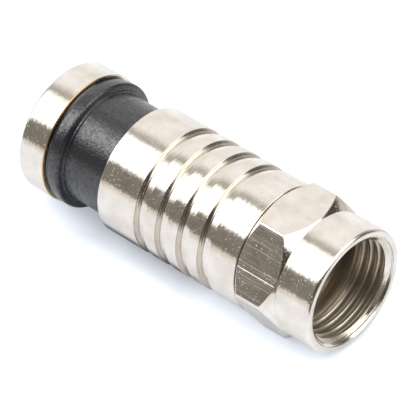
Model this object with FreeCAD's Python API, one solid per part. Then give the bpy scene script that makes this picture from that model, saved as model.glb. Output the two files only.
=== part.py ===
import FreeCAD, Part
import math
import os

# Compression F connector for coaxial cable, millimetres, +Z up.
# It lies on its side with the axis along X and the nut's mouth at +X.
# The origin is on the axis, in the post's front face: the plane that the mating port seats against.

# Coupling nut: a hexagon with a round, threaded nose.
MOUTH_DEPTH = 4.30            # nut mouth to the mating plane
NUT_LENGTH = 7.65
THREAD_MINOR_RADIUS = 4.38    # 3/8-32 thread, drawn as a plain bore at its crests
THREAD_LENGTH = 3.02
MOUTH_CHAMFER = 0.48
RELIEF_DEPTH = 0.47           # of the smooth bore behind the thread
NOSE_WALL = 0.60              # outside that bore
NOSE_LENGTH = 3.45
NOSE_EASE = 0.30
HEX_STANDS_OUT = 0.05         # flats beyond the nose
HEX_FRONT_ANGLE = 45.0        # of the turned cone, to the axis
HEX_REAR_ANGLE = 45.0
HEX_REAR_DROP = 0.03          # the rear face is this much smaller than the flats
SHOULDER_UNDERCUT = 0.12      # turned down where the cone meets the nose
LIP_THICKNESS = 0.95

# Inner post: the flange that traps the nut, a journal, a pressed shank and a barbed tube.
POST_BORE_RADIUS = 2.45
TUBE_WALL = 0.50
SHANK_STEP = 0.35
SHANK_LENGTH = 2.77
JOURNAL_STEP = 0.45
FLANGE_THICKNESS = 1.45
FLANGE_EASE = 0.12
POST_LENGTH = 19.60
BARB_HEIGHT = 0.35
BARB_TIP_LENGTH = 1.00
BARB_BACK_LENGTH = 0.35
BARB_TIP_WALL = 0.30

# Body: a plain barrel with saw-tooth grip grooves.
BODY_STANDS_OUT = 0.10        # beyond the nut's flats
BODY_WALL = 0.67              # round the sleeve's bore
BODY_LENGTH = 14.72
BODY_EASE = 0.10
SEAL_SEAT_WALL = 0.59         # round the pressed shank
SEAL_SEAT_LENGTH = 0.67
SEAL_SECTION = 0.62
GROOVE_COUNT = 4
GROOVE_PITCH = 2.27
GROOVE_DEPTH = 0.30
GROOVE_RAMP = 0.90            # length of the shallow side
GROOVE_STEP = 0.17            # length of the steep side
GROOVE_START = 2.80           # body front to the first ramp
CAVITY_STEP = 0.63            # the cable cavity is this much smaller than the sleeve's bore
CAVITY_LENGTH = 2.50
CAVITY_TAPER = 0.60

# Compression sleeve: the plastic piece that is pressed into the body's rear.
SLEEVE_WALL = 0.98
NECK_IN_BODY = 4.40
NECK_OUTSIDE = 3.78           # free neck between the body and the rise
RISE_LENGTH = 0.78            # hollow curve that rises from the neck to the rib
RISE_HEIGHT = 0.50
RIB_HEIGHT = 0.75
RIB_LENGTH = 1.32
RIB_FRONT_ROUND = 0.18
RIB_REAR_ROUND_LENGTH = 0.75
RIB_REAR_ROUND_HEIGHT = 0.22
SLEEVE_TIP_TAPER = 0.60
SLEEVE_TIP_DROP = 0.30
GRIP_BORE_LENGTH = 7.20
ENTRY_STEP = 0.15             # the cable's way in is this much wider than the grip bore
ENTRY_TAPER = 0.70
WITNESS_LINE_DEPTH = 0.04
WITNESS_LINE_WIDTH = 0.12
WITNESS_LINE_PLACE = 2.98     # behind the body's rear edge

# Rear ring: the metal ring pressed on the sleeve's hub.
RING_RADIUS = 5.75
RING_WALL = 0.97
RING_LENGTH = 2.75
RING_LIP_THICKNESS = 0.60
RING_LIP_HEIGHT = 0.43
RING_FRONT_CHAMFER = 0.09
RING_REAR_ROUND = 0.35

# Clearances between the pieces.
NUT_BODY_GAP = 0.05           # the hairline between the nut and the body
FLANGE_LIP_GAP = 0.05
LIP_HUB_GAP = 0.08
FLANGE_CLEARANCE = 0.13       # the flange goes in through the thread
JOURNAL_CLEARANCE = 0.05
HUB_CLEARANCE = 0.08
SEAL_CLEARANCE = 0.03
PRESS_CLEARANCE = 0.01
NECK_CLEARANCE = 0.05
RING_CLEARANCE = 0.03
RIB_RING_GAP = 0.05           # the ring is pressed on as far as the rib

# Stations along X, counted back from the mating plane at zero.
MOUTH = MOUTH_DEPTH
NUT_REAR = MOUTH - NUT_LENGTH
HEX_FRONT = MOUTH - NOSE_LENGTH
LIP_FRONT = -FLANGE_THICKNESS - FLANGE_LIP_GAP
LIP_REAR = LIP_FRONT - LIP_THICKNESS
HUB_FRONT = LIP_REAR - LIP_HUB_GAP
BODY_FRONT = NUT_REAR - NUT_BODY_GAP
BODY_REAR = BODY_FRONT - BODY_LENGTH
SLEEVE_FRONT = BODY_REAR + NECK_IN_BODY
RISE_FRONT = BODY_REAR - NECK_OUTSIDE
RIB_FRONT = RISE_FRONT - RISE_LENGTH
RIB_REAR = RIB_FRONT - RIB_LENGTH
RING_FRONT = RIB_REAR - RIB_RING_GAP
RING_REAR = RING_FRONT - RING_LENGTH
RING_LIP_FRONT = RING_REAR + RING_LIP_THICKNESS
SLEEVE_REAR = RING_LIP_FRONT + RING_CLEARANCE

# Radii, each from the piece that it fits.
RELIEF_RADIUS = THREAD_MINOR_RADIUS + RELIEF_DEPTH
NOSE_RADIUS = RELIEF_RADIUS + NOSE_WALL
HEX_APOTHEM = NOSE_RADIUS + HEX_STANDS_OUT
HEX_CORNER_RADIUS = HEX_APOTHEM / math.cos(math.radians(30))
FLANGE_RADIUS = THREAD_MINOR_RADIUS - FLANGE_CLEARANCE
TUBE_RADIUS = POST_BORE_RADIUS + TUBE_WALL
SHANK_RADIUS = TUBE_RADIUS + SHANK_STEP
JOURNAL_RADIUS = SHANK_RADIUS + JOURNAL_STEP
LIP_BORE_RADIUS = JOURNAL_RADIUS + JOURNAL_CLEARANCE
POST_SEAT_RADIUS = SHANK_RADIUS + PRESS_CLEARANCE
SEAL_SEAT_RADIUS = POST_SEAT_RADIUS + SEAL_SEAT_WALL
HUB_RADIUS = SEAL_SEAT_RADIUS + SEAL_SECTION
REAR_COUNTERBORE_RADIUS = HUB_RADIUS + HUB_CLEARANCE
BODY_RADIUS = HEX_APOTHEM + BODY_STANDS_OUT
BODY_BORE_RADIUS = BODY_RADIUS - BODY_WALL
CAVITY_RADIUS = BODY_BORE_RADIUS - CAVITY_STEP
NECK_RADIUS = BODY_BORE_RADIUS - NECK_CLEARANCE
RIB_RADIUS = NECK_RADIUS + RIB_HEIGHT
GRIP_BORE_RADIUS = NECK_RADIUS - SLEEVE_WALL
ENTRY_BORE_RADIUS = GRIP_BORE_RADIUS + ENTRY_STEP
RING_BORE_RADIUS = RING_RADIUS - RING_WALL
RING_LIP_RADIUS = RING_BORE_RADIUS - RING_LIP_HEIGHT
SLEEVE_HUB_RADIUS = RING_BORE_RADIUS - RING_CLEARANCE

# A loose nut rocks on its flat until one corner meets the floor that the body lies on.
HEX_ROCK_ANGLE = 30 - math.degrees(math.acos(BODY_RADIUS / HEX_CORNER_RADIUS))


def turned(profile):
    """Solid turned about the X axis from a closed outline of (x, radius) points."""
    corners = [FreeCAD.Vector(x, 0, radius) for x, radius in profile]
    outline = Part.makePolygon(corners + corners[:1])
    return Part.Face(outline).revolve(FreeCAD.Vector(0, 0, 0), FreeCAD.Vector(1, 0, 0), 360)


def eased_front(x, radius, size):
    """Three points round a front outer edge, listed rearwards; the middle one lies on the true arc."""
    middle = size * (1 - math.sqrt(0.5))
    return [(x, radius - size), (x - middle, radius - middle), (x - size, radius)]


def eased_rear(x, radius, length, height):
    """The same for a rear outer edge, listed rearwards, on an elliptic arc of this length and height."""
    middle = 1 - math.sqrt(0.5)
    return [(x + length, radius), (x + length * middle, radius - height * middle), (x, radius - height)]


def hollow_rise(x, radius, length, height):
    """Three points along a hollow elliptic arc that leaves a cylinder and climbs rearwards."""
    middle = math.sqrt(0.5)
    return [(x, radius), (x - length * middle, radius + height * (1 - middle)), (x - length, radius + height)]


def hexagon_bar(x_rear, x_front):
    """Six-sided bar along X, one flat nearly up, turned by the angle that the loose nut rocks to."""
    corners = []
    for step in range(7):
        angle = math.radians(30 + 60 * step + HEX_ROCK_ANGLE)
        y = -HEX_CORNER_RADIUS * math.sin(angle)
        z = HEX_CORNER_RADIUS * math.cos(angle)
        corners.append(FreeCAD.Vector(x_rear, y, z))
    return Part.Face(Part.makePolygon(corners)).extrude(FreeCAD.Vector(x_front - x_rear, 0, 0))


def coupling_nut():
    """Hexagon with turned cones at both ends, a round nose, and the bore that holds port and post."""
    cone_root = NOSE_RADIUS - SHOULDER_UNDERCUT
    rear_face = HEX_APOTHEM - HEX_REAR_DROP
    front_cone = (HEX_CORNER_RADIUS - cone_root) / math.tan(math.radians(HEX_FRONT_ANGLE))
    rear_cone = (HEX_CORNER_RADIUS - rear_face) / math.tan(math.radians(HEX_REAR_ANGLE))
    cones = turned([
        (NUT_REAR, 0),
        (NUT_REAR, rear_face),
        (NUT_REAR + rear_cone, HEX_CORNER_RADIUS),
        (HEX_FRONT - front_cone, HEX_CORNER_RADIUS),
        (HEX_FRONT, cone_root),
        (HEX_FRONT, 0),
    ])
    hexagon = cones.common(hexagon_bar(NUT_REAR, HEX_FRONT))
    nose = turned([(MOUTH, 0)] + eased_front(MOUTH, NOSE_RADIUS, NOSE_EASE) + [
        (HEX_FRONT, NOSE_RADIUS),
        (HEX_FRONT, 0),
    ])
    thread_front = MOUTH - MOUTH_CHAMFER
    thread_rear = thread_front - THREAD_LENGTH
    bore = turned([
        (MOUTH + 1, 0),
        (MOUTH + 1, THREAD_MINOR_RADIUS + MOUTH_CHAMFER + 1),
        (thread_front, THREAD_MINOR_RADIUS),
        (thread_rear, THREAD_MINOR_RADIUS),
        (thread_rear - (RELIEF_RADIUS - THREAD_MINOR_RADIUS), RELIEF_RADIUS),
        (LIP_FRONT, RELIEF_RADIUS),
        (LIP_FRONT, LIP_BORE_RADIUS),
        (LIP_REAR, LIP_BORE_RADIUS),
        (LIP_REAR, REAR_COUNTERBORE_RADIUS),
        (NUT_REAR - 1, REAR_COUNTERBORE_RADIUS),
        (NUT_REAR - 1, 0),
    ])
    return hexagon.fuse(nose).cut(bore).removeSplitter()


def inner_post():
    """Flanged tube: front flange, journal for the nut, pressed shank, thin tube and a barbed end."""
    shank_front = HUB_FRONT
    shank_rear = shank_front - SHANK_LENGTH
    tail = -POST_LENGTH
    barb = tail + BARB_TIP_LENGTH
    return turned([
        (0, POST_BORE_RADIUS),
        (0, FLANGE_RADIUS - FLANGE_EASE),
        (-FLANGE_EASE, FLANGE_RADIUS),
        (-FLANGE_THICKNESS, FLANGE_RADIUS),
        (-FLANGE_THICKNESS, JOURNAL_RADIUS),
        (shank_front, JOURNAL_RADIUS),
        (shank_front, SHANK_RADIUS),
        (shank_rear, SHANK_RADIUS),
        (shank_rear - (SHANK_RADIUS - TUBE_RADIUS), TUBE_RADIUS),
        (barb + BARB_BACK_LENGTH, TUBE_RADIUS),
        (barb, TUBE_RADIUS + BARB_HEIGHT),
        (tail, POST_BORE_RADIUS + BARB_TIP_WALL),
        (tail, POST_BORE_RADIUS),
    ])


def body_outline():
    """Outer (x, radius) points of the body from front to rear, with the saw-tooth grooves."""
    points = [(BODY_FRONT, BODY_RADIUS - BODY_EASE), (BODY_FRONT - BODY_EASE, BODY_RADIUS)]
    for index in range(GROOVE_COUNT):
        ramp_front = BODY_FRONT - GROOVE_START - index * GROOVE_PITCH
        root = ramp_front - GROOVE_RAMP
        points.append((ramp_front, BODY_RADIUS))
        points.append((root, BODY_RADIUS - GROOVE_DEPTH))
        points.append((root - GROOVE_STEP, BODY_RADIUS))
    points.append((BODY_REAR + BODY_EASE, BODY_RADIUS))
    points.append((BODY_REAR, BODY_RADIUS - BODY_EASE))
    return points


def connector_body():
    """Barrel with a front hub for the seal, a seat for the post, the cable cavity and the sleeve's bore."""
    seat_rear = HUB_FRONT - SEAL_SEAT_LENGTH
    post_seat_rear = HUB_FRONT - SHANK_LENGTH
    cavity_front = post_seat_rear - (CAVITY_RADIUS - POST_SEAT_RADIUS)
    cavity_rear = cavity_front - CAVITY_LENGTH
    lead = BODY_EASE
    front = [
        (HUB_FRONT, POST_SEAT_RADIUS),
        (HUB_FRONT, SEAL_SEAT_RADIUS),
        (seat_rear, SEAL_SEAT_RADIUS),
        (seat_rear, HUB_RADIUS),
        (BODY_FRONT, HUB_RADIUS),
    ]
    inside = [
        (BODY_REAR, BODY_BORE_RADIUS + lead),
        (BODY_REAR + lead, BODY_BORE_RADIUS),
        (cavity_rear - CAVITY_TAPER, BODY_BORE_RADIUS),
        (cavity_rear, CAVITY_RADIUS),
        (cavity_front, CAVITY_RADIUS),
        (post_seat_rear, POST_SEAT_RADIUS),
    ]
    return turned(front + body_outline() + inside)


def nut_seal():
    """Rubber ring between the nut's lip and the body's hub, squeezed flat on its seat and in its bore."""
    inner = SEAL_SEAT_RADIUS + SEAL_CLEARANCE
    outer = HUB_RADIUS
    middle = HUB_FRONT - SEAL_SEAT_LENGTH / 2
    half = (outer - inner) / 2
    flat = half * math.tan(math.radians(22.5))
    centre = (outer + inner) / 2
    return turned([
        (middle + flat, outer),
        (middle - flat, outer),
        (middle - half, centre + flat),
        (middle - half, centre - flat),
        (middle - flat, inner),
        (middle + flat, inner),
        (middle + half, centre - flat),
        (middle + half, centre + flat),
    ])


def compression_sleeve():
    """Plastic sleeve: tapered tip, long neck, hollow rise, rounded rib and the hub that carries the ring."""
    witness = BODY_REAR - WITNESS_LINE_PLACE
    grip_rear = SLEEVE_FRONT - GRIP_BORE_LENGTH
    rib_front = eased_front(RIB_FRONT, RIB_RADIUS, RIB_FRONT_ROUND)
    rib_rear = eased_rear(RIB_REAR, RIB_RADIUS, RIB_REAR_ROUND_LENGTH, RIB_REAR_ROUND_HEIGHT)
    rise = hollow_rise(RISE_FRONT, NECK_RADIUS, RISE_LENGTH, RISE_HEIGHT)
    neck = [
        (SLEEVE_FRONT, NECK_RADIUS - SLEEVE_TIP_DROP),
        (SLEEVE_FRONT - SLEEVE_TIP_TAPER, NECK_RADIUS),
        (witness, NECK_RADIUS),
        (witness, NECK_RADIUS - WITNESS_LINE_DEPTH),
        (witness - WITNESS_LINE_WIDTH, NECK_RADIUS - WITNESS_LINE_DEPTH),
        (witness - WITNESS_LINE_WIDTH, NECK_RADIUS),
    ]
    hub_and_bore = [
        (RIB_REAR, SLEEVE_HUB_RADIUS),
        (SLEEVE_REAR, SLEEVE_HUB_RADIUS),
        (SLEEVE_REAR, ENTRY_BORE_RADIUS),
        (grip_rear - ENTRY_TAPER, ENTRY_BORE_RADIUS),
        (grip_rear, GRIP_BORE_RADIUS),
        (SLEEVE_FRONT, GRIP_BORE_RADIUS),
    ]
    return turned(neck + rise + rib_front + rib_rear + hub_and_bore)


def rear_ring():
    """Metal ring with a thin chamfer at its front and a lip round the cable's way in."""
    front = [
        (RING_FRONT, RING_BORE_RADIUS),
        (RING_FRONT, RING_RADIUS - RING_FRONT_CHAMFER),
        (RING_FRONT - RING_FRONT_CHAMFER, RING_RADIUS),
    ]
    lip = [
        (RING_REAR, RING_LIP_RADIUS),
        (RING_LIP_FRONT, RING_LIP_RADIUS),
        (RING_LIP_FRONT, RING_BORE_RADIUS),
    ]
    return turned(front + eased_rear(RING_REAR, RING_RADIUS, RING_REAR_ROUND, RING_REAR_ROUND) + lip)


PIECES = {
    "coupling_nut": coupling_nut,
    "connector_body": connector_body,
    "inner_post": inner_post,
    "nut_seal": nut_seal,
    "compression_sleeve": compression_sleeve,
    "rear_ring": rear_ring,
}

os.makedirs("parts", exist_ok=True)
for name, make in PIECES.items():
    shape = make()
    shape.exportStep("parts/" + name + ".step")
    box = shape.BoundBox
    print(name, "solids", len(shape.Solids), "valid", shape.isValid(), "volume", round(shape.Volume, 3),
          "x", round(box.XMin, 3), round(box.XMax, 3), "radius", round(box.ZMax, 3))
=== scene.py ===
import bpy
import numpy as np
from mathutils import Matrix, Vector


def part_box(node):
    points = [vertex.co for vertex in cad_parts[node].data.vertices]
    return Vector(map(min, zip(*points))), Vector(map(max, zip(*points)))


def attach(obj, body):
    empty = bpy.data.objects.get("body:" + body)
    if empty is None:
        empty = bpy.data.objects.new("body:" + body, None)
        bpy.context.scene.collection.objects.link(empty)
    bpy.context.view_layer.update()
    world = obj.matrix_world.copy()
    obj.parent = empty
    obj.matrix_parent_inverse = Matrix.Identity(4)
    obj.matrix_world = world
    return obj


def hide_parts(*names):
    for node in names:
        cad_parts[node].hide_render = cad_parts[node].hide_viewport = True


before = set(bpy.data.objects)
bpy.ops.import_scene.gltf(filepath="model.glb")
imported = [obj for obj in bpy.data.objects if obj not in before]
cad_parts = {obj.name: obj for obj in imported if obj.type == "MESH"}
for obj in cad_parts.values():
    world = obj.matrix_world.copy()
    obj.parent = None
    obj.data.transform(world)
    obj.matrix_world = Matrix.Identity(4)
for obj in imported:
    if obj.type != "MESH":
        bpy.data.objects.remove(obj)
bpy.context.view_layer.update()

MM = 0.001  # the sizes below are in millimetres, and Blender's unit is the metre


# Inner post: the tube that the cable's core passes through, with a flange in front that the nut is
# trapped by and a barb at its tail. Turned from brass bar and nickel plated, then pressed into the body.

CURVE_ROWS = 5                    # rows along the curve of a rounded corner
ROWS_PER_CORNER = CURVE_ROWS + 2  # and one beside each end of the curve
MIDDLE_ROW = ROWS_PER_CORNER // 2

RING_MARK_LENGTH = 1.3            # how far a tool's ring runs before it changes
DRAW_MARK_LENGTH = 14.0
PIT_WIDTH = 0.11
CLOUD_WIDTH = 1.7
PLATE_RELIEF = 0.02


def linear(code):
    """Linear colour of an sRGB hex code: c / 12.92 below 0.04045, else ((c + 0.055) / 1.055) ^ 2.4."""
    c = np.array([int(code[k:k + 2], 16) for k in (1, 3, 5)]) / 255
    return (*np.where(c < 0.04045, c / 12.92, ((c + 0.055) / 1.055) ** 2.4).tolist(), 1.0)


def add_node(tree, kind, inputs=None, **settings):
    """Adds a node, sets its own settings, and gives each named input a value or a link."""
    made = tree.nodes.new(kind)
    for key, value in settings.items():
        setattr(made, key, value)
    for key, value in (inputs or {}).items():
        if isinstance(value, bpy.types.NodeSocket):
            tree.links.new(value, made.inputs[key])
        else:
            made.inputs[key].default_value = value
    return made


def eased(corners, sizes):
    """Closed outline with every corner rounded. Corners have shape (corners, columns, 2) as (x, radius).

    Corner P with neighbours A and B becomes the curve (1-t)^2 Pa + 2t(1-t) P + t^2 Pb, where Pa and Pb
    lie on the way to A and B at the corner's size, or at 40% of the way where that is less. A row beside
    each end of the curve keeps the long faces flat in shading.
    """
    sizes = np.asarray(sizes, float).reshape(-1, 1, 1)
    t = np.linspace(0, 1, CURVE_ROWS).reshape(1, -1, 1, 1)
    ends = []
    for shift in (1, -1):
        way = np.roll(corners, shift, axis=0) - corners
        length = np.linalg.norm(way, axis=2, keepdims=True)
        unit = way / np.maximum(length, 1e-9)
        ends.append(corners + unit * np.minimum(sizes, 0.40 * length))
        ends.append(corners + unit * np.minimum(1.5 * sizes, 0.45 * length))
    near_a, beside_a, near_b, beside_b = [end[:, None] for end in ends]
    curve = (1 - t) ** 2 * near_a + 2 * t * (1 - t) * corners[:, None] + t ** 2 * near_b
    rows = np.concatenate([beside_a, curve, beside_b], axis=1)
    return rows.reshape(-1, corners.shape[1], 2)


def outline_of(corners):
    """Outline array (corners, 1, 2), and the corner sizes, from (x, radius, size) triples."""
    table = np.array(corners, float)
    return table[:, None, :2], table[:, 2]


def revolved(name, outline, turn):
    """Closed surface from outline rows (x, radius) carried round the X axis.

    Point (row, column) is (x, -radius sin(turn), radius cos(turn)), so turn counts from straight up
    towards -Y. Rows and columns both close on themselves, and rows run rearwards on the outside.
    """
    x = np.broadcast_to(outline[..., 0], (len(outline), len(turn)))
    radius = np.broadcast_to(outline[..., 1], x.shape)
    points = np.stack([x, -radius * np.sin(turn), radius * np.cos(turn)], axis=2) * MM
    index = np.arange(x.size).reshape(x.shape)
    below = np.roll(index, -1, axis=0)
    quads = np.stack([index, below, np.roll(below, -1, axis=1), np.roll(index, -1, axis=1)], axis=2)
    mesh = bpy.data.meshes.new(name)
    mesh.vertices.add(x.size)
    mesh.vertices.foreach_set("co", points.ravel())
    mesh.loops.add(quads.size)
    mesh.loops.foreach_set("vertex_index", quads.ravel())
    mesh.polygons.add(x.size)
    mesh.polygons.foreach_set("loop_start", np.arange(x.size) * 4)
    mesh.polygons.foreach_set("use_smooth", np.ones(x.size, bool))
    mesh.update(calc_edges=True)
    piece = bpy.data.objects.new(name, mesh)
    bpy.context.collection.objects.link(piece)
    return piece


def leaned_normal(tree, lean):
    """World normal of the surface after the object-space normal N is leaned by lean x (X cross N)."""
    normal = add_node(tree, "ShaderNodeTexCoord").outputs["Normal"]
    around = add_node(tree, "ShaderNodeVectorMath", {
        0: (1.0, 0.0, 0.0), 1: normal}, operation="CROSS_PRODUCT")
    shift = add_node(tree, "ShaderNodeVectorMath", {0: around.outputs[0], "Scale": lean}, operation="SCALE")
    leaned = add_node(tree, "ShaderNodeVectorMath", {0: normal, 1: shift.outputs[0]}, operation="ADD")
    world = add_node(tree, "ShaderNodeVectorTransform", {0: leaned.outputs[0]},
                     vector_type="NORMAL", convert_from="OBJECT", convert_to="WORLD")
    return world.outputs[0]


def with_draw_lines(tree, height, place, marks, draw_line):
    """A height with bright threads added: the deepest marks, and one long line.

    The line lies where the place's part along the first of draw_line equals the second of it.
    """
    across, distance = draw_line
    threads = add_node(tree, "ShaderNodeMapRange", {"Value": marks, "From Min": 0.60, "From Max": 0.69})
    part = add_node(tree, "ShaderNodeVectorMath", {0: place, 1: across}, operation="DOT_PRODUCT")
    offset = add_node(tree, "ShaderNodeMath", {
        0: part.outputs["Value"], 1: distance * MM}, operation="SUBTRACT")
    apart = add_node(tree, "ShaderNodeMath", {0: offset.outputs[0]}, operation="ABSOLUTE")
    line = add_node(tree, "ShaderNodeMapRange", {
        "Value": apart.outputs[0], "From Min": 0.04 * MM, "From Max": 0.0})
    lined = add_node(tree, "ShaderNodeMath", {
        0: line.outputs[0], 1: 0.6, 2: height}, operation="MULTIPLY_ADD")
    threaded = add_node(tree, "ShaderNodeMath", {
        0: threads.outputs[0], 1: 0.14, 2: lined.outputs[0]}, operation="MULTIPLY_ADD")
    return threaded.outputs[0]


def nickel_plate(name, colours, roughness, tool_step, tilt, metallic=1.0, askew=0.0, draw_line=None):
    """Bright nickel plate: a faintly warm mirror, cloudy by a shade, with fine rings left by the tool.

    The rings are noise squeezed along X, so that they run round the axis, and each ring leans its
    mirror image a little to one side. On drawn flats, which have a draw line, the marks run along X
    instead. The plate has a fine grain that frays the borders of its reflections, and small pits that
    catch the lights as dots. A piece that stands a little askew has its whole mirror image turned by
    that angle round X.
    """
    material = bpy.data.materials.new(name)
    material.use_nodes = True
    tree = material.node_tree
    shader = tree.nodes["Principled BSDF"]
    shader.inputs["Metallic"].default_value = metallic
    shader.inputs["Roughness"].default_value = roughness
    place = add_node(tree, "ShaderNodeTexCoord").outputs["Object"]
    fine = 1 / (tool_step * MM)
    if draw_line:
        scale = (1 / (DRAW_MARK_LENGTH * MM), fine, fine)
        grain_height = 0.05
    else:
        scale = (fine, 1 / (RING_MARK_LENGTH * MM), 1 / (RING_MARK_LENGTH * MM))
        grain_height = 0.14
    squeezed = add_node(tree, "ShaderNodeMapping", {"Vector": place, "Scale": scale})
    marks = add_node(tree, "ShaderNodeTexNoise", {
        "Vector": squeezed.outputs[0], "Scale": 1.0, "Detail": 2.0, "Roughness": 0.6})
    lean = add_node(tree, "ShaderNodeMapRange", {
        "Value": marks.outputs[0], "From Min": 0.3, "From Max": 0.7,
        "To Min": askew - tilt, "To Max": askew + tilt}, clamp=False)
    grain = add_node(tree, "ShaderNodeTexNoise", {
        "Vector": place, "Scale": 1 / (PIT_WIDTH * MM), "Detail": 0.0})
    pits = add_node(tree, "ShaderNodeMapRange", {
        "Value": grain.outputs[0], "From Min": 0.76, "From Max": 0.84})
    pitted = add_node(tree, "ShaderNodeMath", {
        0: grain.outputs[0], 1: grain_height, 2: pits.outputs[0]}, operation="MULTIPLY_ADD")
    height = add_node(tree, "ShaderNodeMath", {
        0: marks.outputs[0], 1: 0.06, 2: pitted.outputs[0]}, operation="MULTIPLY_ADD").outputs[0]
    if draw_line:
        height = with_draw_lines(tree, height, place, marks.outputs[0], draw_line)
    bump = add_node(tree, "ShaderNodeBump", {
        "Height": height, "Distance": PLATE_RELIEF * MM, "Normal": leaned_normal(tree, lean.outputs[0])})
    clouds = add_node(tree, "ShaderNodeTexNoise", {
        "Vector": place, "Scale": 1 / (CLOUD_WIDTH * MM), "Detail": 5.0})
    shade = add_node(tree, "ShaderNodeMapRange", {
        "Value": clouds.outputs[0], "From Min": 0.30, "From Max": 0.70})
    tint = add_node(tree, "ShaderNodeMix", {
        "Factor": shade.outputs[0], "A": linear(colours[0]), "B": linear(colours[1])}, data_type="RGBA")
    tree.links.new(tint.outputs["Result"], shader.inputs["Base Color"])
    tree.links.new(bump.outputs[0], shader.inputs["Normal"])
    return material


POST_REAR, POST_FRONT = (corner.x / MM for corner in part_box("inner_post"))
POST_BORE = 2.45
TUBE = 2.95
SHANK = 3.30
SHANK_REAR = -5.30
JOURNAL = 3.75
JOURNAL_REAR = -2.53
FLANGE = 4.25
FLANGE_REAR = -1.45
BARB = 3.30
BARB_BACK = 1.35
BARB_TIP = 1.00
TAIL_WALL = 0.30
TURN = np.linspace(0, 2 * np.pi, 240, endpoint=False)

post = revolved("inner_post_tube", eased(*outline_of([
    (POST_FRONT, FLANGE, 0.12),
    (FLANGE_REAR, FLANGE, 0.05),
    (FLANGE_REAR, JOURNAL, 0.03),
    (JOURNAL_REAR, JOURNAL, 0.05),
    (JOURNAL_REAR, SHANK, 0.03),
    (SHANK_REAR, SHANK, 0.05),
    (SHANK_REAR - (SHANK - TUBE), TUBE, 0.10),
    (POST_REAR + BARB_BACK, TUBE, 0.05),
    (POST_REAR + BARB_TIP, BARB, 0.04),
    (POST_REAR, POST_BORE + TAIL_WALL, 0.05),
    (POST_REAR, POST_BORE, 0.05),
    (POST_FRONT, POST_BORE, 0.06),
])), TURN)
post.data.materials.append(nickel_plate(
    "nickel_plate_on_turned_post", ("#E4DDD3", "#D8D0C4"), 0.20, 0.12, 0.03))
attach(post, "barrel")
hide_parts("inner_post")


# Nut seal: a small moulded rubber ring, squeezed between the nut's lip and the body's hub. It keeps
# water out of the thread. It can't be seen with the nut in place.

SEAL_REAR, SEAL_FRONT = (corner.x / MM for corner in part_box("nut_seal"))
SEAL_OUTER = 4.52
SEAL_INNER = 3.93
SEAL_ROUND = 0.22


def moulded_rubber(name):
    """Black nitrile rubber, moulded: dull, with a very fine skin."""
    material = bpy.data.materials.new(name)
    material.use_nodes = True
    tree = material.node_tree
    shader = tree.nodes["Principled BSDF"]
    shader.inputs["Base Color"].default_value = linear("#1B1B1C")
    shader.inputs["Roughness"].default_value = 0.62
    place = add_node(tree, "ShaderNodeTexCoord").outputs["Object"]
    skin = add_node(tree, "ShaderNodeTexNoise", {"Vector": place, "Scale": 1 / (0.08 * MM)})
    bump = add_node(tree, "ShaderNodeBump", {"Height": skin.outputs[0], "Distance": 0.002 * MM})
    tree.links.new(bump.outputs[0], shader.inputs["Normal"])
    return material


seal = revolved("nut_seal_ring", eased(*outline_of([
    (SEAL_FRONT, SEAL_OUTER, SEAL_ROUND),
    (SEAL_REAR, SEAL_OUTER, SEAL_ROUND),
    (SEAL_REAR, SEAL_INNER, SEAL_ROUND),
    (SEAL_FRONT, SEAL_INNER, SEAL_ROUND),
])), TURN)
seal.data.materials.append(moulded_rubber("moulded_nitrile_rubber"))
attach(seal, "barrel")
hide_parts("nut_seal")


# Connector body: the barrel that the hand holds, turned from brass bar and nickel plated. Its four grip
# grooves are saw teeth whose short steps are a little hollow and duller than the rest. Its front hub
# stands inside the nut, and its rear bore takes the sleeve.

HUB_FRONT = -2.53
HUB_STEP = -3.20
HUB = 4.52
SEAL_SEAT = 3.90
POST_SEAT = 3.31
BODY_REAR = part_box("connector_body")[0].x / MM
BODY_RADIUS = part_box("connector_body")[1].z / MM
BODY_FRONT = -3.38
GROOVE_COUNT = 4
GROOVE_PITCH = 2.27
GROOVE_START = 2.77
GROOVE_LENGTH = 1.17
GROOVE_RAMP = 0.95
GROOVE_DEPTH = 0.27
STEP_FOOT_LENGTH = 0.12
STEP_FOOT_RISE = 0.06
STEP_TOP_LENGTH = 0.04
STEP_TOP_DROP = 0.12
BODY_BORE = 4.93
LEAD_IN = 0.60
CAVITY = 4.30
CAVITY_FRONT = -6.29
CAVITY_REAR = -8.79
BRIGHT_PLATE = ("#F4EFE8", "#E2DACF")
TURNED_FINISH = (0.12, 0.07, 0.025)  # roughness, width of a tool ring, lean of its mirror image
ON_STEPS = 1


def saw_tooth(index):
    """One groove: a straight ramp goes down to the root, and a hollow step climbs back."""
    front = BODY_FRONT - GROOVE_START - index * GROOVE_PITCH
    root = front - GROOVE_RAMP
    rear = front - GROOVE_LENGTH
    return [
        (front, BODY_RADIUS, 0.04),
        (root, BODY_RADIUS - GROOVE_DEPTH, 0.06),
        (root - STEP_FOOT_LENGTH, BODY_RADIUS - GROOVE_DEPTH + STEP_FOOT_RISE, 0.08),
        (rear + STEP_TOP_LENGTH, BODY_RADIUS - STEP_TOP_DROP, 0.07),
        (rear, BODY_RADIUS, 0.03),
    ]


BEFORE_GROOVES = [
    (HUB_FRONT, SEAL_SEAT, 0.05),
    (HUB_STEP, SEAL_SEAT, 0.03),
    (HUB_STEP, HUB, 0.05),
    (BODY_FRONT, HUB, 0.03),
    (BODY_FRONT, BODY_RADIUS, 0.05),
]
BEHIND_GROOVES = [
    (BODY_REAR, BODY_RADIUS, 0.12),
    (BODY_REAR, BODY_BORE, 0.08),
    (CAVITY_REAR - LEAD_IN, BODY_BORE, 0.10),
    (CAVITY_REAR, CAVITY, 0.10),
    (CAVITY_FRONT, CAVITY, 0.10),
    (CAVITY_FRONT + (CAVITY - POST_SEAT), POST_SEAT, 0.05),
    (HUB_FRONT, POST_SEAT, 0.05),
]
GROOVES = [corner for index in range(GROOVE_COUNT) for corner in saw_tooth(index)]


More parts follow.
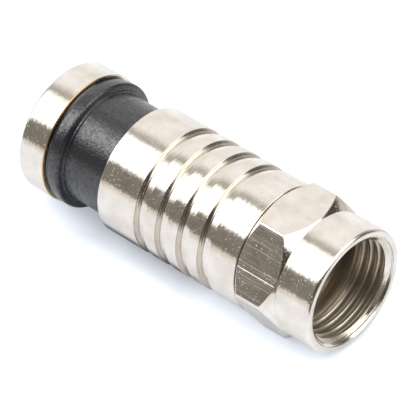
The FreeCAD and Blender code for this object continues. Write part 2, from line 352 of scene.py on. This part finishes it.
def groove_step_rows(row_count):
    """1 for the rows of a groove's step, from its root's middle to its rear edge, and 0 elsewhere."""
    by_row = np.zeros(row_count, int)
    for index in range(GROOVE_COUNT):
        root = len(BEFORE_GROOVES) + index * len(saw_tooth(index)) + 1
        rear = root + 3
        first = ROWS_PER_CORNER * root + MIDDLE_ROW
        by_row[first:ROWS_PER_CORNER * rear + MIDDLE_ROW - 1] = ON_STEPS
    return by_row


body_outline = eased(*outline_of(BEFORE_GROOVES + GROOVES + BEHIND_GROOVES))
body = revolved("grooved_barrel", body_outline, TURN)
body.data.materials.append(nickel_plate("nickel_plate_on_turned_barrel", BRIGHT_PLATE, *TURNED_FINISH))
body.data.materials.append(nickel_plate(
    "dull_nickel_plate_on_groove_steps", ("#D2CABF", "#C2B9AC"), 0.18, 0.07, 0.025))
body_rows = groove_step_rows(len(body_outline))
body.data.polygons.foreach_set("material_index", np.repeat(body_rows, len(TURN)))
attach(body, "barrel")
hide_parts("connector_body")


# Coupling nut: hexagon bar turned to a round nose in front and chamfered at both ends of the flats,
# threaded 3/8-32 inside, and nickel plated. The flats keep the drawn bar's fine lines along the axis.

NUT_REAR, MOUTH = (corner.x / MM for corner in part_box("coupling_nut"))
NOSE_REAR = MOUTH - 3.45
NOSE = 5.45
CONE_ROOT = 5.33
APOTHEM = 5.50
CORNER_ROUND = 0.30
HALF_SIDE = np.radians(30)        # half of the angle that one flat takes
REAR_FACE = 5.47
ROCK = HALF_SIDE - np.arccos(BODY_RADIUS / (APOTHEM / np.cos(HALF_SIDE)))
MINOR = 4.38
MAJOR = 4.78
PITCH = 25.4 / 32
THREAD_START = np.radians(142)
SIDE_COLUMNS = 15
ROUND_COLUMNS = 7
ROUND_MARGIN = 1.6                # the flat's first column, in half widths of the corner's round
THREAD_ROWS = 188
CREST_SHARE = 0.25                # of the half pitch, from a crest's middle
FLANK_SHARE = 0.625
MOUTH_CHAMFER = 0.48
THREAD_REAR = 0.80
RELIEF = 4.85
LIP_FRONT = -1.50
LIP_REAR = -2.45
LIP_BORE = 3.80
REAR_BORE = 4.60
FLAT_FRONT_CORNER = 3             # places in nut_outline's list of corners
FLAT_REAR_CORNER = 4
LIP_CORNER = 9
ON_FLATS, IN_THREAD, IN_RELIEF = 1, 2, 3
ACROSS_FLAT = (0.0, -np.cos(ROCK + 2 * HALF_SIDE), -np.sin(ROCK + 2 * HALF_SIDE))
DRAW_LINE_AT = 0.93               # from the flat's middle
ASKEW = np.radians(-2.5)


def hexagon_turn():
    """Column angles: close together round each rounded corner, wider across the flats."""
    arc = CORNER_ROUND * np.sin(HALF_SIDE) / APOTHEM
    side = np.linspace(ROUND_MARGIN * arc, HALF_SIDE, SIDE_COLUMNS)
    sextant = np.concatenate([-side[::-1], np.linspace(-arc, arc, ROUND_COLUMNS), side[:-1]])
    corners = ROCK + HALF_SIDE + 2 * HALF_SIDE * np.arange(6)
    return (corners[:, None] + sextant).ravel()


def hexagon_radius(turn):
    """Radius of a hexagon with rounded corners: apothem / cos(angle from the flat's middle) on a flat,
    and c cos(a) + sqrt(round^2 - c^2 sin(a)^2) at an angle a from a corner, c being the round's centre."""
    a = np.abs((turn - ROCK) % (2 * HALF_SIDE) - HALF_SIDE)
    centre = (APOTHEM - CORNER_ROUND) / np.cos(HALF_SIDE)
    tangent = np.arctan2(CORNER_ROUND * np.sin(HALF_SIDE), centre + CORNER_ROUND * np.cos(HALF_SIDE))
    inside = np.maximum(CORNER_ROUND ** 2 - (centre * np.sin(a)) ** 2, 0)
    return np.where(a < tangent, centre * np.cos(a) + np.sqrt(inside), APOTHEM / np.cos(HALF_SIDE - a))


def thread_depth(x, turn):
    """Depth of a right-hand 60 degree thread: with u the distance from a crest in half pitches, it is
    (u - crest share) / flank share between the flat crest and the flat root, times the full depth."""
    phase = (x - MOUTH) / PITCH - (turn - THREAD_START) / (2 * np.pi)
    u = np.abs((phase + 0.5) % 1 - 0.5) * 2
    return (MAJOR - MINOR) * np.clip((u - CREST_SHARE) / FLANK_SHARE, 0, 1)


def nut_outline(turn):
    """Rows of the nut's outline for every column: cones meet the flats where the hexagon's radius says.

    The thread's own rows stand between the last two corners. There the bore is the widest of the
    mouth's chamfer, the relief behind the thread, and the thread.
    """
    hexagon = hexagon_radius(turn)
    corners = [
        (MOUTH, NOSE, 0.30),
        (NOSE_REAR, NOSE, 0.03),
        (NOSE_REAR, CONE_ROOT, 0.03),
        (NOSE_REAR - (hexagon - CONE_ROOT), hexagon, 0.05),
        (NUT_REAR + (hexagon - REAR_FACE), hexagon, 0.05),
        (NUT_REAR, REAR_FACE, 0.03),
        (NUT_REAR, REAR_BORE, 0.05),
        (LIP_REAR, REAR_BORE, 0.05),
        (LIP_REAR, LIP_BORE, 0.04),
        (LIP_FRONT, LIP_BORE, 0.04),
        (LIP_FRONT, RELIEF, 0.06),
        (THREAD_REAR - (RELIEF - MINOR), RELIEF, 0.06),
        (MOUTH, MINOR + MOUTH_CHAMFER, 0.06),
    ]
    table = [np.stack(np.broadcast_arrays(x, radius, turn)[:2], axis=1) for x, radius, _ in corners]
    rows = eased(np.array(table), [size for _, _, size in corners])
    before_mouth = len(rows) - ROWS_PER_CORNER
    behind = rows[before_mouth - 1, 0, 0]
    ahead = rows[before_mouth, 0, 0]
    x = np.linspace(behind, ahead, THREAD_ROWS + 2)[1:-1, None]
    chamfer = MINOR + x - (MOUTH - MOUTH_CHAMFER)
    relief = np.minimum(MINOR + THREAD_REAR - x, RELIEF)
    bore = np.maximum(np.maximum(chamfer, relief), MINOR + thread_depth(x, turn))
    thread = np.stack(np.broadcast_arrays(x, bore), axis=2)
    return np.concatenate([rows[:before_mouth], thread, rows[before_mouth:]])


def nut_finishes(outline):
    """Number of the plate on each row: the nose's, the flats', the thread's or the relief's."""
    row_x = outline[:, :, 0].mean(axis=1)
    inside = np.arange(len(outline)) >= ROWS_PER_CORNER * LIP_CORNER
    by_row = np.zeros(len(outline), int)
    first = ROWS_PER_CORNER * FLAT_FRONT_CORNER + CURVE_ROWS
    by_row[first:ROWS_PER_CORNER * FLAT_REAR_CORNER + CURVE_ROWS - 1] = ON_FLATS
    by_row[inside & (row_x < THREAD_REAR)] = IN_RELIEF
    by_row[inside & (row_x >= THREAD_REAR) & (row_x < MOUTH - MOUTH_CHAMFER)] = IN_THREAD
    return by_row


HEX_TURN = hexagon_turn()
hexagon_rows = nut_outline(HEX_TURN)
nut = revolved("hexagon_nut", hexagon_rows, HEX_TURN)
nut.data.materials.append(nickel_plate(
    "nickel_plate_on_turned_nose", BRIGHT_PLATE, *TURNED_FINISH, askew=ASKEW))
nut.data.materials.append(nickel_plate(
    "nickel_plate_on_drawn_flats", BRIGHT_PLATE, 0.10, 0.06, 0.01,
    draw_line=(ACROSS_FLAT, DRAW_LINE_AT)))
nut.data.materials.append(nickel_plate(
    "nickel_plate_in_tapped_thread", ("#DCD3C6", "#CFC5B6"), 0.28, 0.05, 0.04))
nut.data.materials.append(nickel_plate(
    "dull_nickel_plate_in_relief", ("#CFC3B0", "#B9AB97"), 0.30, 0.10, 0.03, metallic=0.70))
nut.data.polygons.foreach_set("material_index", np.repeat(nut_finishes(hexagon_rows), len(HEX_TURN)))
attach(nut, "nut")
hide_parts("coupling_nut")


# Compression sleeve: moulded in black acetal. Its long neck slides into the body. A rise with a small
# ledge leads up to the rounded rib, and the ring is pressed on the hub behind the rib.

SLEEVE_REAR, SLEEVE_FRONT = (corner.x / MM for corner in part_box("compression_sleeve"))
NECK = 4.88
NECK_TIP = NECK - 0.30
NECK_LEAD_IN = 0.60
WITNESS = BODY_REAR - 2.86
WITNESS_DEPTH = 0.02
WITNESS_WIDTH = 0.12
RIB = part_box("compression_sleeve")[1].z / MM
RIB_FRONT = -22.62
RIB_REAR = -24.00
RISE_FOOT = RIB_FRONT + 0.72
LEDGE_FOOT = RIB_FRONT + 0.31
LEDGE_FRONT = RIB_FRONT + 0.27
LEDGE_REAR = RIB_FRONT + 0.15
RISE_TOP = NECK + 0.04
LEDGE = NECK + 0.20
LEDGE_SLOPE = 0.02
RIB_CROWN_REAR = RIB_REAR + 0.75
RIB_SHOULDER_REAR = RIB_REAR + 0.40
RIB_SHOULDER = RIB - 0.05
RIB_FOOT = RIB - 0.19
SLEEVE_HUB = 4.75
ENTRY_BORE = 4.05
ENTRY_FRONT = -21.62
GRIP_REAR = -20.92
GRIP_BORE = 3.90


def moulded_acetal(name):
    """Black acetal, injection moulded: satin, with a dimpled skin that breaks its highlights into
    cloudy specks."""
    material = bpy.data.materials.new(name)
    material.use_nodes = True
    tree = material.node_tree
    shader = tree.nodes["Principled BSDF"]
    shader.inputs["Base Color"].default_value = linear("#25262B")
    place = add_node(tree, "ShaderNodeTexCoord").outputs["Object"]
    cloud = add_node(tree, "ShaderNodeTexNoise", {
        "Vector": place, "Scale": 1 / (0.32 * MM), "Detail": 5.0, "Roughness": 0.75})
    gloss = add_node(tree, "ShaderNodeMapRange", {
        "Value": cloud.outputs[0], "From Min": 0.35, "From Max": 0.65, "To Min": 0.11, "To Max": 0.26})
    sheen = add_node(tree, "ShaderNodeMapRange", {
        "Value": cloud.outputs[0], "From Min": 0.35, "From Max": 0.65, "To Min": 1.20, "To Max": 0.50})
    dimples = add_node(tree, "ShaderNodeTexNoise", {
        "Vector": place, "Scale": 1 / (0.17 * MM), "Detail": 2.0})
    bump = add_node(tree, "ShaderNodeBump", {"Height": dimples.outputs[0], "Distance": 0.028 * MM})
    tree.links.new(gloss.outputs[0], shader.inputs["Roughness"])
    tree.links.new(sheen.outputs[0], shader.inputs["Specular IOR Level"])
    tree.links.new(bump.outputs[0], shader.inputs["Normal"])
    return material


sleeve = revolved("black_sleeve", eased(*outline_of([
    (SLEEVE_FRONT, NECK_TIP, 0.08),
    (SLEEVE_FRONT - NECK_LEAD_IN, NECK, 0.10),
    (WITNESS, NECK, 0.03),
    (WITNESS, NECK - WITNESS_DEPTH, 0.01),
    (WITNESS - WITNESS_WIDTH, NECK - WITNESS_DEPTH, 0.01),
    (WITNESS - WITNESS_WIDTH, NECK, 0.03),
    (RISE_FOOT, NECK, 0.25),
    (LEDGE_FOOT, RISE_TOP, 0.02),
    (LEDGE_FRONT, LEDGE, 0.02),
    (LEDGE_REAR, LEDGE + LEDGE_SLOPE, 0.02),
    (RIB_FRONT, RIB, 0.16),
    (RIB_CROWN_REAR, RIB, 0.25),
    (RIB_SHOULDER_REAR, RIB_SHOULDER, 0.25),
    (RIB_REAR, RIB_FOOT, 0.03),
    (RIB_REAR, SLEEVE_HUB, 0.05),
    (SLEEVE_REAR, SLEEVE_HUB, 0.10),
    (SLEEVE_REAR, ENTRY_BORE, 0.15),
    (ENTRY_FRONT, ENTRY_BORE, 0.20),
    (GRIP_REAR, GRIP_BORE, 0.20),
    (SLEEVE_FRONT, GRIP_BORE, 0.10),
])), TURN)
sleeve.data.materials.append(moulded_acetal("moulded_black_acetal"))
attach(sleeve, "sleeve")
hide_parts("compression_sleeve")


# Rear ring: a short turned brass ring, nickel plated, pressed on the sleeve's rear. Along its sharp front
# edge, on the lit side only, a thin gold line is painted: a painted colour fringe of the edge's highlight.

RING_REAR, RING_FRONT = (corner.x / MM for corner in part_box("rear_ring"))
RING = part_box("rear_ring")[1].z / MM
RING_BORE = 4.78
RING_LIP = 4.35
RING_LIP_LENGTH = 0.60
# rows and turns of the painted gold fringe, on the lit side of the front edge
GOLD_FRINGE_ROWS = 5
GOLD_FRINGE_FROM = np.radians(352)
GOLD_FRINGE_UNTIL = np.radians(130)


def painted_gold_fringe(name):
    """Painted gold fringe: a deep gold metal for a thin line on the lit side of the front edge, the painted
    colour fringe of the edge's highlight. a deep gold line.
    """
    material = bpy.data.materials.new(name)
    material.use_nodes = True
    shader = material.node_tree.nodes["Principled BSDF"]
    shader.inputs["Base Color"].default_value = linear("#D8B47A")
    shader.inputs["Metallic"].default_value = 1.0
    shader.inputs["Roughness"].default_value = 0.30
    return material


ring_outline = eased(*outline_of([
    (RING_FRONT, RING, 0.08),
    (RING_REAR, RING, 0.38),
    (RING_REAR, RING_LIP, 0.10),
    (RING_REAR + RING_LIP_LENGTH, RING_LIP, 0.05),
    (RING_REAR + RING_LIP_LENGTH, RING_BORE, 0.03),
    (RING_FRONT, RING_BORE, 0.05),
]))
ring = revolved("pressed_rear_ring", ring_outline, TURN)
ring.data.materials.append(nickel_plate(
    "nickel_plate_on_pressed_ring", BRIGHT_PLATE, *TURNED_FINISH, askew=ASKEW))
ring.data.materials.append(painted_gold_fringe("painted_gold_fringe_on_lit_edge"))
# painted colour fringe: gold faces on the front edge's first rows, only between these turns on the lit side
gold_fringe_faces = np.zeros((len(ring_outline), len(TURN)), int)
gold_fringe_faces[:GOLD_FRINGE_ROWS] = (TURN < GOLD_FRINGE_UNTIL) | (TURN > GOLD_FRINGE_FROM)
ring.data.polygons.foreach_set("material_index", gold_fringe_faces.ravel())
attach(ring, "sleeve")
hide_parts("rear_ring")


# Studio: a white table top under the connector, a large soft light at the camera's left, a bright window
# at its right, and the room between the table and the lights, which the metal mirrors.

FLOOR_LEFT, FLOOR_RIGHT = -54.0, 16.0
FLOOR_FRONT, FLOOR_BACK = -45.0, 26.0
FLOOR_Z = -RING
BARREL_MIDDLE = -15.5
CAMERA_TURN = np.radians(42.27)
CAMERA_LIFT = np.radians(40.15)
CAMERA_DISTANCE = 342.1
MOUTH_RIGHT_OF_CENTRE = 11.42
MOUTH_BELOW_CENTRE = 6.62
CAMERA_LENS = 377.2
TO_MOUTH = (1.0, 0.0, 0.0)
TO_BACK = (0.0, 1.0, 0.0)
TO_CEILING = (0.0, 0.0, 1.0)
LIGHT_TOP = (-0.101, -0.994, -0.038)  # from here on, normals of the border planes that the metal shows
LIGHT_BOTTOM = (-0.222, 0.666, 0.711)
LIGHT_FAR_END = (0.373, -0.501, 0.782)
LIGHT_NEAR_END = (-1.0, 0.0, 0.1)
WINDOW_EDGE = (0.482, -0.763, 0.432)
TABLE_LEFT = (-0.299, 0.167, 0.940)
TABLE_RIGHT = (0.45, 0.0, 0.893)
RIGHT_CORNER = (0.960, -0.280, 0.0)
RIGHT_SKIRTING = (0.0, 0.12, 0.993)
BRIGHT_CEILING = (0.64, -0.20, 0.74)


def table_top():
    """One face in the plane z = FLOOR_Z, with corners at the four pairs of an x and a y limit."""
    corners = np.array([
        (FLOOR_LEFT, FLOOR_FRONT, FLOOR_Z), (FLOOR_RIGHT, FLOOR_FRONT, FLOOR_Z),
        (FLOOR_RIGHT, FLOOR_BACK, FLOOR_Z), (FLOOR_LEFT, FLOOR_BACK, FLOOR_Z)])
    mesh = bpy.data.meshes.new("table_top")
    mesh.from_pydata((corners * MM).tolist(), [], [(0, 1, 2, 3)])
    top = bpy.data.objects.new("table_top", mesh)
    bpy.context.collection.objects.link(top)
    return top


def white_paper(name):
    """White card, faintly blue, with a weak glow for the light that a far larger table would bounce.

    The painted glow is strongest close beside the connector. Right under the barrel the card has none, and
    a painted shadow makes it grey there for every ray but the camera's, so the metal mirrors a shadow.
    The camera sees the card lifted to plain white where no shadow falls.
    """
    material = bpy.data.materials.new(name)
    material.use_nodes = True
    tree = material.node_tree
    shader = tree.nodes["Principled BSDF"]
    shader.inputs["Roughness"].default_value = 0.9
    shader.inputs["Specular IOR Level"].default_value = 0.0
    shader.inputs["Emission Color"].default_value = linear("#E2ECFA")
    point = add_node(tree, "ShaderNodeTexCoord").outputs["Object"]
    place = add_node(tree, "ShaderNodeSeparateXYZ", {0: point})
    aside = add_node(tree, "ShaderNodeMath", {0: place.outputs["Y"]}, operation="ABSOLUTE")
    # painted bounce light: the card glows 0.19 close beside the connector, falling to 0.02 from 16 mm aside
    near = add_node(tree, "ShaderNodeMapRange", {
        "Value": aside.outputs[0], "From Min": 16 * MM, "From Max": 7 * MM, "To Min": 0.02, "To Max": 0.19})
    # painted shadow: these masks are 0 in a strip right under the barrel, which gets no glow and a grey
    # colour
    beside_painted_shadow = add_node(tree, "ShaderNodeMapRange", {
        "Value": aside.outputs[0], "From Min": 4.0 * MM, "From Max": 5.3 * MM})
    along = add_node(tree, "ShaderNodeMath", {
        0: place.outputs["X"], 1: BARREL_MIDDLE * MM}, operation="SUBTRACT")
    from_middle = add_node(tree, "ShaderNodeMath", {0: along.outputs[0]}, operation="ABSOLUTE")
    past_painted_shadow_ends = add_node(tree, "ShaderNodeMapRange", {
        "Value": from_middle.outputs[0], "From Min": 4.5 * MM, "From Max": 7.5 * MM})
    clear = add_node(tree, "ShaderNodeMath", {
        0: beside_painted_shadow.outputs[0], 1: past_painted_shadow_ends.outputs[0]}, operation="MAXIMUM")
    glow = add_node(tree, "ShaderNodeMath", {0: near.outputs[0], 1: clear.outputs[0]}, operation="MULTIPLY")
    ray = add_node(tree, "ShaderNodeLightPath")
    lift = add_node(tree, "ShaderNodeMath", {
        0: ray.outputs["Is Camera Ray"], 1: 0.33, 2: glow.outputs[0]}, operation="MULTIPLY_ADD")
    # painted shadow: under the barrel the card is the grey #8A8B8F for every ray but the camera's, so the
    # metal mirrors a shadow there
    white = add_node(tree, "ShaderNodeMath", {
        0: clear.outputs[0], 1: ray.outputs["Is Camera Ray"]}, operation="MAXIMUM")
    paper = add_node(tree, "ShaderNodeMix", {
        "Factor": white.outputs[0], "A": linear("#8A8B8F"), "B": linear("#D8DADF")}, data_type="RGBA")
    tree.links.new(paper.outputs["Result"], shader.inputs["Base Color"])
    tree.links.new(lift.outputs[0], shader.inputs["Emission Strength"])
    return material


def studio_world():
    """Surroundings by direction. Every border is a plane through the object, given by its normal.

    Pale room above, brightest over the camera's right shoulder and dim behind to the right, and white
    table below. A soft light stands at the camera's left, between the upper and lower border, and the
    air beside its upper border is a shade darker. The room is dim under that light and low down on the
    right. A bright window stands on the right. The camera itself sees plain white.
    """
    world = bpy.data.worlds.new("studio")
    world.use_nodes = True
    tree = world.node_tree
    direction = add_node(tree, "ShaderNodeTexCoord").outputs["Generated"]

    def beyond(normal, start, end):
        """0 to 1 as the direction's distance from the border plane goes from start to end."""
        distance = add_node(tree, "ShaderNodeVectorMath", {0: direction, 1: normal}, operation="DOT_PRODUCT")
        return add_node(tree, "ShaderNodeMapRange", {
            "Value": distance.outputs["Value"], "From Min": start, "From Max": end},
            interpolation_type="SMOOTHSTEP").outputs[0]

    def region(operation, *borders):
        """Region beyond several borders. MINIMUM keeps its corners sharp, MULTIPLY makes them softer."""
        cover = beyond(*borders[0])
        for border in borders[1:]:
            cover = add_node(tree, "ShaderNodeMath", {
                0: cover, 1: beyond(*border)}, operation=operation).outputs[0]
        return cover

    def layered(colour, *layers):
        """A colour with paints laid over it in turn, each as opaque as its cover says."""
        for cover, paint in layers:
            colour = add_node(tree, "ShaderNodeMix", {
                "Factor": cover, "A": colour, "B": paint}, data_type="RGBA").outputs["Result"]
        return colour

    light = region(
        "MINIMUM", (LIGHT_TOP, 0.035, 0.055), (LIGHT_BOTTOM, -0.030, 0.010),
        (LIGHT_FAR_END, -0.010, 0.010), (LIGHT_NEAR_END, -0.010, 0.010))
    hot = region("MINIMUM", (LIGHT_TOP, 0.10, 0.36), (LIGHT_BOTTOM, 0.02, 0.18))
    table = region(
        "MINIMUM", (TO_CEILING, 0.010, -0.010), (TABLE_LEFT, -0.010, -0.030), (TABLE_RIGHT, 0.010, -0.010))
    haze = region("MULTIPLY", (TO_CEILING, 0.26, 0.0), (TO_BACK, 0.3, 0.7))
    bright_ceiling = beyond(BRIGHT_CEILING, 0.50, 0.85)
    back_right = region("MULTIPLY", (TO_MOUTH, -0.42, -0.14), (TO_BACK, 0.62, 0.76))
    fringe = region("MULTIPLY", (LIGHT_TOP, -0.27, -0.04), (TO_MOUTH, 0.1, -0.1))
    window = region(
        "MULTIPLY", (WINDOW_EDGE, -0.01, 0.01), (LIGHT_BOTTOM, -0.01, 0.01), (TO_MOUTH, 0.35, 0.45))
    under_light = region("MULTIPLY", (LIGHT_TOP, 0.035, 0.055), (LIGHT_BOTTOM, 0.010, -0.030))
    on_right = region("MINIMUM", (TO_MOUTH, -0.10, 0.25), (RIGHT_CORNER, -0.01, 0.01))
    low_right = add_node(tree, "ShaderNodeMath", {
        0: on_right, 1: beyond(RIGHT_SKIRTING, 0.510, 0.490)}, operation="MULTIPLY")
    dim = add_node(tree, "ShaderNodeMath", {0: under_light, 1: low_right.outputs[0]}, operation="MAXIMUM")

    back_wall = layered(
        (0.66, 0.635, 0.59, 1.0), (beyond(TO_CEILING, 0.05, 0.40), (0.34, 0.32, 0.285, 1.0)))
    far_room = layered(
        (0.22, 0.20, 0.18, 1.0), (beyond(TO_CEILING, -0.05, 0.15), (0.07, 0.064, 0.058, 1.0)))
    colour = layered(
        (0.955, 0.935, 0.905, 1.0),
        (beyond(TO_CEILING, 0.1, 0.8), (1.045, 1.02, 1.01, 1.0)),
        (haze, (1.05, 1.06, 1.07, 1.0)),
        (bright_ceiling, (1.60, 1.56, 1.50, 1.0)),
        (back_right, back_wall),
        (fringe, (0.50, 0.473, 0.425, 1.0)),
        (dim.outputs[0], layered((0.235, 0.217, 0.190, 1.0), (on_right, far_room))),
        (window, (2.2, 2.17, 2.1, 1.0)),
        (table, (0.84, 0.80, 0.75, 1.0)),
        (light, (1.0, 1.0, 1.0, 1.0)))
    glow = add_node(tree, "ShaderNodeMath", {0: hot, 1: 2.3, 2: 0.3}, operation="MULTIPLY_ADD")
    strength = add_node(tree, "ShaderNodeMath", {
        0: light, 1: glow.outputs[0], 2: 1.0}, operation="MULTIPLY_ADD")
    background = tree.nodes["Background"]
    tree.links.new(colour, background.inputs["Color"])
    tree.links.new(strength.outputs[0], background.inputs["Strength"])
    plain = add_node(tree, "ShaderNodeBackground", {"Color": (1.0, 1.0, 1.0, 1.0)})
    ray = add_node(tree, "ShaderNodeLightPath")
    seen = add_node(tree, "ShaderNodeMixShader", {
        "Fac": ray.outputs["Is Camera Ray"], 1: background.outputs[0], 2: plain.outputs[0]})
    tree.links.new(seen.outputs[0], tree.nodes["World Output"].inputs["Surface"])
    return world


def posed_camera():
    """Long lens that looks along -back, where back is (sin turn, -cos turn) in X and Y, tipped up by the
    lift. The nut's mouth lies right of and below the picture's centre by the two named distances."""
    level = np.cos(CAMERA_LIFT)
    right = np.array([np.cos(CAMERA_TURN), np.sin(CAMERA_TURN), 0])
    back = np.array([np.sin(CAMERA_TURN) * level, -np.cos(CAMERA_TURN) * level, np.sin(CAMERA_LIFT)])
    up = np.cross(back, right)
    mouth = np.array([MOUTH, 0, 0])
    eye = mouth - right * MOUTH_RIGHT_OF_CENTRE + up * MOUTH_BELOW_CENTRE + back * CAMERA_DISTANCE
    lens = bpy.data.cameras.new("camera")
    lens.lens = CAMERA_LENS
    lens.sensor_width = 36.0
    lens.clip_start = 0.01
    camera = bpy.data.objects.new("camera", lens)
    bpy.context.collection.objects.link(camera)
    pose = np.eye(4)
    pose[:3, 0] = right
    pose[:3, 1] = up
    pose[:3, 2] = back
    pose[:3, 3] = eye * MM
    camera.matrix_world = pose.T.tolist()
    return camera


floor = table_top()
floor.data.materials.append(white_paper("white_card_with_painted_shadow"))
scene = bpy.context.scene
scene.world = studio_world()
scene.camera = posed_camera()
scene.view_settings.view_transform = "Standard"
